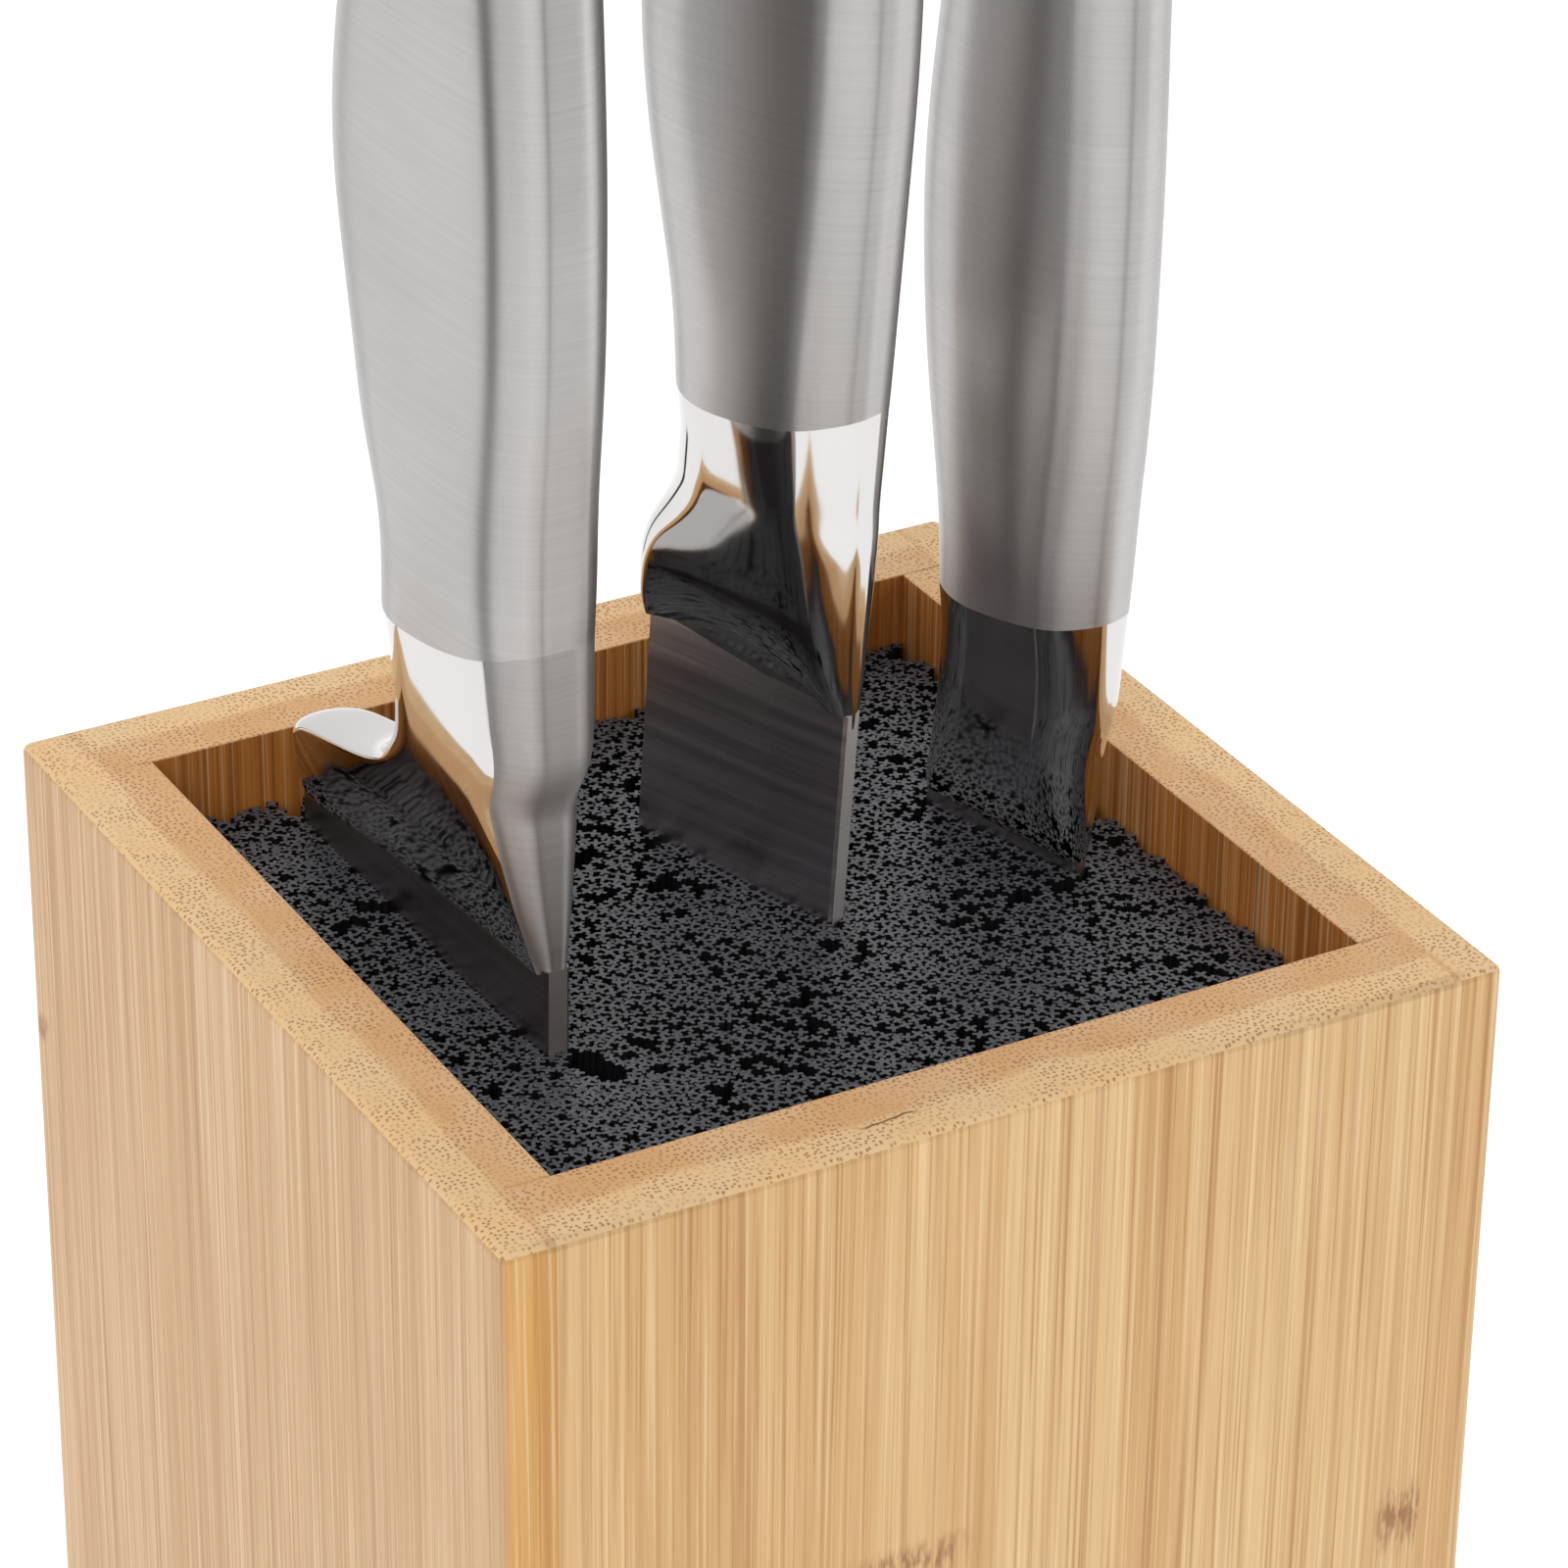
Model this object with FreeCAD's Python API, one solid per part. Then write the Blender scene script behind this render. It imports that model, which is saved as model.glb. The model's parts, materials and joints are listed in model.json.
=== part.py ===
import FreeCAD, Part

import math
import os

# A square bamboo knife block filled with upright plastic rods, and three all-steel knives pushed in between them.
# Frame: origin on the ground at the centre of the block, +Z up, -Y the front board, millimetres.

# Block
BLOCK_SIDE = 100.0
BLOCK_HEIGHT = 225.0
WALL = 9.4
REBATE_SKIN = 5.2          # what the side boards keep outside the front and back boards
FOOT_HEIGHT = 3.0
FOOT_RADIUS = 6.0
FOOT_DRAFT = 0.8
FOOT_INSET = 16.0          # foot centre from the block's outer faces
BASE_THICKNESS = 8.0
BASE_REBATE = 3.0          # how far the base board reaches into each wall
EDGE_ROUNDING = 0.8

# Bristle insert
RECESS = 7.0               # rod tips below the rim
INSERT_CLEARANCE = 0.4
INSERT_BASE = 4.0
SLOT_CLEARANCE = 0.6       # free space on each side of a blade

# Handle section: a flat spine strip, two 45 degree facets, flat sides and an elliptical belly
SPINE_STRIP = 0.37         # strip width as a share of the handle's thickness
SHELL_WALL = 1.2
CAP_LENGTH = 7.0
CAP_SPIGOT = 6.0
CAP_SHOULDER = 0.96        # size of the cap halfway up, as a share of its joint with the shell
CAP_CROWN = 0.72           # size of the cap's top, as a share of the same joint
CAP_CLEARANCE = 0.5
TANG_WIDTH = 11.0
TANG_DEPTH = 4.5           # the tang's upper side below the line of the spine
TANG_ROOT = 2.0            # how far the tang reaches down into the blade
TANG_CLEARANCE = 0.05
BELLY_POINTS = 5

# Blade section and outline
GRIND_START = 0.3          # where the ground wedge starts, as a share of the blade's width from the spine
EDGE_THICKNESS = 0.3
SPINE_DROP_RISE = 0.33     # how far the spine has dropped halfway along its curve, as a share of its whole drop
BELLY_FULLNESS = 0.76      # the same for the edge's curve

BLOCK_TOP = BLOCK_HEIGHT
ROD_TIPS = BLOCK_TOP - RECESS
INNER_HALF = BLOCK_SIDE / 2 - WALL
INSERT_HALF = INNER_HALF - INSERT_CLEARANCE
INSERT_FLOOR = FOOT_HEIGHT + BASE_THICKNESS
ROD_FOOT = INSERT_FLOOR + INSERT_BASE

# Each knife has its own axes: u along the handle, v towards the spine, w across the blade. The origin is the middle
# of the spine where it meets the rod tips. Handle and bolster rows are (u, v of the spine, height, thickness, belly).
KNIVES = {
    "chef_knife": {
        "foot": (-25.5, -12.7), "yaw": 2.1, "tilt": 1.0,
        "blade_width": 48.4, "blade_thickness": 2.6, "blade_length": 200.0, "shoulder": (6.5, 2.1),
        "tip_drop": 0.5, "straight_share": 0.45, "tang_top": 70.0,
        "bolster": [(12.0, -0.6, 28.0, 8.4, 4.0), (19.0, -0.9, 25.2, 9.8, 6.0), (25.0, -1.3, 23.6, 11.2, 8.0),
                    (33.0, -1.7, 23.6, 12.6, 9.0), (42.0, -2.0, 24.6, 13.6, 10.0)],
        "handle": [(42.0, -2.0, 24.6, 13.6, 10.0), (52.0, -1.7, 27.4, 14.0, 11.0), (60.0, -1.0, 29.9, 14.0, 11.0),
                   (68.0, -0.5, 32.1, 14.0, 12.0), (76.0, -0.4, 33.6, 14.0, 12.0), (84.0, -0.5, 33.4, 14.0, 12.0),
                   (92.0, -0.9, 31.7, 14.0, 12.0), (101.0, -1.5, 29.3, 14.0, 11.0), (110.0, -2.2, 27.6, 14.0, 10.0),
                   (119.0, -2.7, 27.4, 14.0, 10.0), (128.0, -2.9, 28.6, 14.0, 10.0)],
        "guard": {"root": 15.5, "top": 12.5, "reach": 47.0, "thickness": 7.0},
    },
    "carving_knife": {
        "foot": (7.8, -4.4), "yaw": 17.9, "tilt": 4.0,
        "blade_width": 25.4, "blade_thickness": 2.2, "blade_length": 200.0, "shoulder": (21.5, 21.5),
        "tip_drop": 0.55, "straight_share": 0.75, "tang_top": 85.0,
        "bolster": [(28.0, -0.1, 25.2, 9.0, 5.0), (36.0, -0.1, 23.2, 10.6, 7.0), (42.0, -0.1, 21.6, 11.8, 8.0),
                    (48.0, -0.1, 21.9, 12.6, 9.0)],
        "handle": [(48.0, -0.1, 21.9, 12.6, 9.0), (55.0, 0.0, 23.1, 13.0, 9.0), (62.0, 0.1, 24.9, 13.0, 10.0),
                   (70.0, 0.2, 27.1, 13.0, 10.0), (78.0, 0.3, 28.9, 13.0, 10.0), (86.0, 0.3, 29.7, 13.0, 10.0),
                   (94.0, 0.0, 29.6, 13.0, 10.0), (103.0, -0.6, 28.4, 13.0, 10.0), (113.0, -1.2, 26.6, 13.0, 9.0),
                   (123.0, -1.6, 25.7, 13.0, 9.0), (133.0, -1.7, 26.4, 13.0, 9.0), (141.0, -1.8, 27.4, 13.0, 9.0)],
        "guard": {"root": 31.5, "top": 30.0, "reach": 25.6, "thickness": 7.5},
    },
    "utility_knife": {
        "foot": (32.3, -7.2), "yaw": 18.6, "tilt": 3.2,
        "blade_width": 19.0, "blade_thickness": 1.8, "blade_length": 130.0, "shoulder": (1.0, 1.0),
        "tip_drop": 0.5, "straight_share": 0.6, "tang_top": 50.0,
        "bolster": [(3.0, 0.4, 18.4, 4.6, 4.0), (7.0, 0.5, 18.4, 7.6, 5.0), (14.0, 0.7, 18.4, 9.6, 7.0),
                    (25.0, 0.8, 18.9, 11.2, 8.0)],
        "handle": [(25.0, 0.8, 18.9, 11.2, 8.0), (34.0, 1.0, 20.3, 12.0, 8.0), (42.0, 1.2, 22.0, 12.0, 9.0),
                   (50.0, 1.3, 23.4, 12.0, 9.0), (58.0, 1.1, 24.1, 12.0, 9.0), (66.0, 0.8, 24.3, 12.0, 9.0),
                   (74.0, 0.4, 23.8, 12.0, 9.0), (83.0, -0.2, 22.7, 12.0, 8.0), (91.0, -0.7, 21.9, 12.0, 8.0),
                   (99.0, -0.9, 22.3, 12.0, 8.0)],
        "guard": None,
    },
}


def vec(x, y, z):
    return FreeCAD.Vector(x, y, z)


def box(low, high):
    size = [high[i] - low[i] for i in range(3)]
    return Part.makeBox(size[0], size[1], size[2], vec(low[0], low[1], low[2]))


def export(name, shape):
    shape.exportStep(os.path.join("parts", name + ".step"))
    print(name, "valid", shape.isValid(), "solids", len(shape.Solids), "volume", round(shape.Volume, 1))


# ---------------------------------------------------------------- block

def round_outer_edges(board, half):
    """Rounds the board's edges that lie on the outside of the block or round its rim."""
    edges = []
    for edge in board.Edges:
        bounds = edge.BoundBox
        on_x = min(abs(bounds.XMin), abs(bounds.XMax)) > half - 0.01 and bounds.XLength < 0.01
        on_y = min(abs(bounds.YMin), abs(bounds.YMax)) > half - 0.01 and bounds.YLength < 0.01
        on_rim = bounds.ZMin > BLOCK_TOP - 0.01
        if (on_x and on_y) or (on_rim and (on_x or on_y)):
            edges.append(edge)
    return board.makeFillet(EDGE_ROUNDING, edges)


def make_block():
    half = BLOCK_SIDE / 2
    low_z = FOOT_HEIGHT
    base_half = INNER_HALF + BASE_REBATE
    base = box((-base_half, -base_half, low_z), (base_half, base_half, low_z + BASE_THICKNESS))

    front_half = half - REBATE_SKIN
    front = box((-front_half, -half, low_z), (front_half, -INNER_HALF, BLOCK_TOP))
    back = box((-front_half, INNER_HALF, low_z), (front_half, half, BLOCK_TOP))
    left = box((-half, -half, low_z), (-INNER_HALF, half, BLOCK_TOP)).cut(front).cut(back)
    right = box((INNER_HALF, -half, low_z), (half, half, BLOCK_TOP)).cut(front).cut(back)

    boards = {"front_board": front, "back_board": back, "left_side_board": left, "right_side_board": right}
    for name, board in boards.items():
        export(name, round_outer_edges(board.cut(base), half))
    export("base_board", base)

    foot_place = half - FOOT_INSET
    for y_name, y in (("front", -foot_place), ("back", foot_place)):
        for x_name, x in (("left", -foot_place), ("right", foot_place)):
            foot = Part.makeCone(FOOT_RADIUS - FOOT_DRAFT, FOOT_RADIUS, FOOT_HEIGHT, vec(x, y, 0))
            export("foot_%s_%s" % (y_name, x_name), foot)


# ---------------------------------------------------------------- bristle insert

def slot(knife):
    """The upright gap right across the insert along one blade's plane."""
    width = knife["blade_thickness"] + 2 * SLOT_CLEARANCE
    gap = box((-width / 2, -BLOCK_SIDE, ROD_FOOT - 1), (width / 2, BLOCK_SIDE, ROD_TIPS + 1))
    gap.rotate(vec(0, 0, 0), vec(0, 0, 1), knife["yaw"])
    gap.translate(vec(knife["foot"][0], knife["foot"][1], 0))
    return gap


def make_insert():
    export("bristle_base", box((-INSERT_HALF, -INSERT_HALF, INSERT_FLOOR), (INSERT_HALF, INSERT_HALF, ROD_FOOT)))
    rods = box((-INSERT_HALF, -INSERT_HALF, ROD_FOOT), (INSERT_HALF, INSERT_HALF, ROD_TIPS))
    for knife in KNIVES.values():
        rods = rods.cut(slot(knife))
    bundles = sorted(rods.Solids, key=lambda solid: solid.CenterOfMass.x)
    names = ("rods_left", "rods_centre_left", "rods_centre_right", "rods_right")
    for name, bundle in zip(names, bundles):
        export(name, bundle)


# ---------------------------------------------------------------- knives

def section(row, inset=0.0):
    """A closed wire across the handle at one row, moved inwards by the inset."""
    u, spine, height, thickness, belly = row
    spine -= inset
    height -= 2 * inset
    half = thickness / 2 - inset
    belly -= inset
    strip = half * SPINE_STRIP
    facet = half - strip
    flat_end = spine - height + belly

    def place(v, w):
        return vec(w, v, u)

    belly_points = []
    for i in range(BELLY_POINTS + 2):
        angle = math.pi * i / (BELLY_POINTS + 1)
        belly_points.append(place(flat_end - belly * math.sin(angle), half * math.cos(angle)))
    curve = Part.BSplineCurve()
    curve.interpolate(belly_points, InitialTangent=vec(0, -1, 0), FinalTangent=vec(0, 1, 0))
    corners = [place(flat_end, -half), place(spine - facet, -half), place(spine, -strip), place(spine, strip),
               place(spine - facet, half), place(flat_end, half)]
    edges = [curve.toShape()]
    edges += [Part.makeLine(a, b) for a, b in zip(corners, corners[1:])]
    return Part.Wire(edges)


def loft(rows, inset=0.0):
    return Part.makeLoft([section(row, inset) for row in rows], True, False)


def scaled_row(row, height_share, rise):
    """A row above the given one, smaller all round by the share."""
    u, spine, height, thickness, belly = row
    shrink = height * (1 - height_share)
    return (u + rise, spine - shrink / 2, height - shrink, thickness * height_share, belly * height_share)


def between(row_a, row_b, share):
    return tuple(a + (b - a) * share for a, b in zip(row_a, row_b))


def make_shell(rows):
    """The hollow handle, open at both ends."""
    return loft(rows).cut(loft(rows, SHELL_WALL))


def make_cap(rows):
    """The plug that closes the handle: a crowned top and a spigot inside the shell."""
    end = rows[-1]
    middle = scaled_row(end, CAP_SHOULDER, CAP_LENGTH / 2)
    crown = loft([end, middle, scaled_row(end, CAP_CROWN, CAP_LENGTH)])
    step = between(rows[-2], end, 1 - CAP_SPIGOT / (end[0] - rows[-2][0]))
    spigot = loft([step, end], SHELL_WALL + CAP_CLEARANCE)
    return crown.fuse(spigot)


def tang(knife, clearance=0.0):
    """The bar that runs from the blade up through the bolster into the handle."""
    half = knife["blade_thickness"] / 2 + clearance
    middle = -TANG_DEPTH - TANG_WIDTH / 2
    reach = TANG_WIDTH / 2 + clearance
    foot = min(knife["shoulder"]) - TANG_ROOT
    return box((-half, middle - reach, foot), (half, middle + reach, knife["tang_top"]))


def shoulder_line(knife):
    """The blade's top line from the spine to the heel."""
    at_spine, at_heel = knife["shoulder"]
    return vec(0, 0, at_spine), vec(0, -knife["blade_width"], at_heel)


def make_blade(knife):
    """Blade profile: straight spine that drops near the tip, an edge that curves up to it, and a ground wedge."""
    half = knife["blade_thickness"] / 2
    width = knife["blade_width"]
    spine_top, heel_top = shoulder_line(knife)
    tip_u = heel_top.z - knife["blade_length"]
    straight_u = heel_top.z - knife["blade_length"] * knife["straight_share"]
    tip = vec(0, -width * knife["tip_drop"], tip_u)
    spine_turn = vec(0, 0, (straight_u + tip_u) / 2)
    edge_turn = vec(0, -width, straight_u)
    back_middle = vec(0, tip.y * SPINE_DROP_RISE, (spine_turn.z + tip_u) / 2)
    back = Part.Arc(spine_turn, back_middle, tip).toShape()
    belly_middle = vec(0, tip.y + (edge_turn.y - tip.y) * BELLY_FULLNESS, (straight_u + tip_u) / 2)
    belly = Part.Arc(tip, belly_middle, edge_turn).toShape()
    edges = [Part.makeLine(heel_top, spine_top), Part.makeLine(spine_top, spine_turn), back, belly,
             Part.makeLine(edge_turn, heel_top)]
    profile = Part.Face(Part.Wire(edges))
    profile.translate(vec(-half, 0, 0))
    blade = profile.extrude(vec(2 * half, 0, 0))
    top = max(spine_top.z, heel_top.z) + 1
    grind_start = -width * GRIND_START
    for side in (-1, 1):
        start = vec(side * half, grind_start, top)
        edge_half = side * EDGE_THICKNESS / 2
        corners = [start, vec(side * 2 * half, grind_start, top), vec(side * 2 * half, -width - 1, top),
                   vec(edge_half, -width - 1, top), vec(edge_half, -width, top), start]
        wedge = Part.Face(Part.makePolygon(corners))
        blade = blade.cut(wedge.extrude(vec(0, 0, tip_u - top - 1)))
    return blade


def crossing(spine, spine_half, heel, heel_half):
    """A closed four-sided wire from the spine's side to the heel's side."""
    corners = [vec(-spine_half, spine.y, spine.z), vec(spine_half, spine.y, spine.z),
               vec(heel_half, heel.y, heel.z), vec(-heel_half, heel.y, heel.z)]
    return Part.makePolygon(corners + corners[:1])


def make_bolster(knife):
    """From the blade's shoulder, a thin plate that swells into the neck of the handle, with its finger guard."""
    spine_top, heel_top = shoulder_line(knife)
    blade_half = knife["blade_thickness"] / 2
    foot = crossing(spine_top, blade_half, heel_top, blade_half)
    first_u, first_spine, first_height, first_thickness, _ = knife["bolster"][0]
    guard = knife["guard"] or {"root": first_u, "top": first_u, "reach": first_height, "thickness": first_thickness}
    head = crossing(vec(0, first_spine, guard["root"]), first_thickness / 2,
                    vec(0, -guard["reach"], guard["top"]), guard["thickness"] / 2)
    base = Part.makeLoft([foot, head], True, True)
    return base.fuse(loft(knife["bolster"]))


def place(shape, knife):
    """Moves a shape from the knife's own axes to where it stands in the block."""
    shape = shape.copy()
    yaw = math.radians(knife["yaw"])
    tilt = math.radians(knife["tilt"])
    spine_way = vec(math.sin(yaw), -math.cos(yaw), 0)
    up = vec(0, 0, 1) * math.cos(tilt) + spine_way * math.sin(tilt)
    v_axis = spine_way * math.cos(tilt) - vec(0, 0, 1) * math.sin(tilt)
    w_axis = v_axis.cross(up)
    matrix = FreeCAD.Matrix(w_axis.x, v_axis.x, up.x, knife["foot"][0], w_axis.y, v_axis.y, up.y, knife["foot"][1],
                            w_axis.z, v_axis.z, up.z, ROD_TIPS, 0, 0, 0, 1)
    shape.Placement = FreeCAD.Placement(matrix).multiply(shape.Placement)
    return shape


def make_knife(name, knife):
    blade = make_blade(knife).fuse(tang(knife))
    bolster = make_bolster(knife).cut(tang(knife, TANG_CLEARANCE))
    pieces = {"blade": blade, "bolster": bolster, "handle": make_shell(knife["handle"]),
              "end_cap": make_cap(knife["handle"])}
    for piece, shape in pieces.items():
        export(name + "_" + piece, place(shape.removeSplitter(), knife))


os.makedirs("parts", exist_ok=True)
make_block()
make_insert()
for knife_name, knife_sizes in KNIVES.items():
    make_knife(knife_name, knife_sizes)
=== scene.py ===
import json
import math
import random

import bmesh
import bpy
import numpy as np
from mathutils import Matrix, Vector, kdtree, noise


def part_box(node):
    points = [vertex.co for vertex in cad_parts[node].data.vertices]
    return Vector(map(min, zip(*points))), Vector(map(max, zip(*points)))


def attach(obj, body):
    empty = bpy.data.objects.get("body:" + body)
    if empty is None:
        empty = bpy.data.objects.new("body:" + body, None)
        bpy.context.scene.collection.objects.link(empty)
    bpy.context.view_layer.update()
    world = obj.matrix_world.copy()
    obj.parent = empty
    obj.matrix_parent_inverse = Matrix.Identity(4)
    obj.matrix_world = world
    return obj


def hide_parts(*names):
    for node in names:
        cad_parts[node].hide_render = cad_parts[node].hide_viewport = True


# A bamboo knife block filled with star-section plastic rods, and three all-steel knives standing in it.
# Lengths in this file are millimetres where a name or a comment says so, and are turned into metres with MM.
MM = 0.001
SEED = 7

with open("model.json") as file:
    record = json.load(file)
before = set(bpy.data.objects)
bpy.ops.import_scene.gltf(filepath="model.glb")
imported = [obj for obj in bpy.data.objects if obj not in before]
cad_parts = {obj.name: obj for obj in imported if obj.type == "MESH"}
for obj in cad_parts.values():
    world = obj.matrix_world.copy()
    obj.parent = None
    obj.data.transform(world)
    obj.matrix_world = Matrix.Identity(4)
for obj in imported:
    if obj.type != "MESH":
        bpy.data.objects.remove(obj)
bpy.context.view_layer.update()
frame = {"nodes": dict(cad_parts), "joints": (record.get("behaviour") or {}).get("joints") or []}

FRONT_LOW, FRONT_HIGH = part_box("front_board")
LEFT_LOW, LEFT_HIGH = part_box("left_side_board")
RIGHT_LOW, RIGHT_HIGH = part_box("right_side_board")
BACK_LOW, BACK_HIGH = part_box("back_board")
INSERT_LOW, INSERT_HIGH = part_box("bristle_base")
RODS_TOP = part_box("rods_left")[1].z
RODS_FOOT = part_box("rods_left")[0].z
RIM_Z = FRONT_HIGH.z


# ---------------------------------------------------------------- meshes

def piece(name, verts, faces, materials, body, nodes, smooth=True, face_slots=None, flat_ends=0):
    """A mesh object made of plain lists that rides on a body and stands for some CAD nodes."""
    mesh = bpy.data.meshes.new(name)
    mesh.from_pydata([tuple(v) for v in verts], [], faces)
    for material in materials:
        mesh.materials.append(material)
    mesh.polygons.foreach_set("use_smooth", [smooth and k < len(faces) - flat_ends for k in range(len(faces))])
    if face_slots is not None:
        mesh.polygons.foreach_set("material_index", face_slots)
    mesh.update()
    obj = bpy.data.objects.new(name, mesh)
    bpy.context.scene.collection.objects.link(obj)
    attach(obj, body)
    if nodes:
        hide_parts(*nodes)
    return obj


def tube_faces(ring_count, ring_size, closed=True):
    """Quads between rings of points that follow one another."""
    faces = []
    last = ring_size if closed else ring_size - 1
    for r in range(ring_count - 1):
        for i in range(last):
            j = (i + 1) % ring_size
            faces.append((r * ring_size + i, r * ring_size + j, (r + 1) * ring_size + j, (r + 1) * ring_size + i))
    return faces


def spline(rows, steps):
    """Points along a smooth curve through the rows, with some steps between one row and the next."""
    rows = np.asarray(rows, float)
    out = []
    for k in range(len(rows) - 1):
        before = rows[k - 1] if k else 2 * rows[0] - rows[1]
        after = rows[k + 2] if k + 2 < len(rows) else 2 * rows[-1] - rows[-2]
        for s in range(steps):
            t = s / steps
            out.append(0.5 * (2 * rows[k] + (rows[k + 1] - before) * t
                              + (2 * before - 5 * rows[k] + 4 * rows[k + 1] - after) * t * t
                              + (3 * rows[k] - before - 3 * rows[k + 1] + after) * t ** 3))
    out.append(rows[-1])
    return np.array(out)


# ---------------------------------------------------------------- materials

class Nodes:
    """A material under construction, with short calls for its nodes."""

    def __init__(self, name):
        self.material = bpy.data.materials.new(name)
        self.material.use_nodes = True
        self.tree = self.material.node_tree
        self.tree.nodes.clear()
        output = self.tree.nodes.new("ShaderNodeOutputMaterial")
        self.shader = self.tree.nodes.new("ShaderNodeBsdfPrincipled")
        self.tree.links.new(self.shader.outputs[0], output.inputs[0])
        place = self.tree.nodes.new("ShaderNodeTexCoord").outputs["Object"]
        self.place = place
        split = self.tree.nodes.new("ShaderNodeSeparateXYZ")
        self.tree.links.new(place, split.inputs[0])
        self.x, self.y, self.z = split.outputs

    def put(self, socket, value):
        if isinstance(value, bpy.types.NodeSocket):
            self.tree.links.new(value, socket)
        elif isinstance(value, (tuple, list)) and len(value) == 3 and socket.type == "RGBA":
            socket.default_value = (*value, 1)
        else:
            socket.default_value = value

    def set(self, **values):
        names = {"color": "Base Color", "rough": "Roughness", "metal": "Metallic", "normal": "Normal",
                 "coat": "Coat Weight", "coat_rough": "Coat Roughness", "specular": "Specular IOR Level",
                 "aniso": "Anisotropic", "aniso_turn": "Anisotropic Rotation", "tangent": "Tangent"}
        for key, value in values.items():
            self.put(self.shader.inputs[names[key]], value)
        return self

    def math(self, operation, a, b=0.0, clamp=False):
        node = self.tree.nodes.new("ShaderNodeMath")
        node.operation = operation
        node.use_clamp = clamp
        self.put(node.inputs[0], a)
        self.put(node.inputs[1], b)
        return node.outputs[0]

    def vector(self, x, y, z):
        node = self.tree.nodes.new("ShaderNodeCombineXYZ")
        for socket, value in zip(node.inputs, (x, y, z)):
            self.put(socket, value)
        return node.outputs[0]

    def noise(self, vector, scale=1.0, detail=2.0, rough=0.5):
        node = self.tree.nodes.new("ShaderNodeTexNoise")
        self.put(node.inputs["Vector"], vector)
        for key, value in (("Scale", scale), ("Detail", detail), ("Roughness", rough)):
            node.inputs[key].default_value = value
        return node.outputs["Fac"]

    def white(self, value):
        node = self.tree.nodes.new("ShaderNodeTexWhiteNoise")
        node.noise_dimensions = "1D"
        self.put(node.inputs["W"], value)
        return node.outputs["Value"]

    def voronoi(self, vector, scale, feature="F1", randomness=1.0):
        node = self.tree.nodes.new("ShaderNodeTexVoronoi")
        node.feature = feature
        node.voronoi_dimensions = "2D"
        self.put(node.inputs["Vector"], vector)
        node.inputs["Scale"].default_value = scale
        node.inputs["Randomness"].default_value = randomness
        return node.outputs["Distance"]

    def between(self, value, low, high, out_low=0.0, out_high=1.0):
        """The value's place between low and high, eased, as a number from out_low to out_high."""
        node = self.tree.nodes.new("ShaderNodeMapRange")
        node.interpolation_type = "SMOOTHSTEP"
        self.put(node.inputs["Value"], value)
        for key, number in (("From Min", low), ("From Max", high), ("To Min", out_low), ("To Max", out_high)):
            node.inputs[key].default_value = number
        return node.outputs["Result"]

    def mix(self, factor, a, b, blend="MIX"):
        node = self.tree.nodes.new("ShaderNodeMix")
        node.data_type = "RGBA"
        node.blend_type = blend
        for name, value in (("Factor", factor), ("A", a), ("B", b)):
            socket = next(s for s in node.inputs if s.name == name and s.type == ("VALUE" if name == "Factor" else "RGBA"))
            self.put(socket, value)
        return next(s for s in node.outputs if s.type == "RGBA")

    def bump(self, height, strength, distance):
        node = self.tree.nodes.new("ShaderNodeBump")
        self.put(node.inputs["Height"], height)
        node.inputs["Strength"].default_value = strength
        node.inputs["Distance"].default_value = distance
        return node.outputs["Normal"]

    def around_z(self):
        """A tangent that runs round the upright axis: the way the steel was brushed."""
        node = self.tree.nodes.new("ShaderNodeTangent")
        node.direction_type = "RADIAL"
        node.axis = "Z"
        return node.outputs[0]


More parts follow.
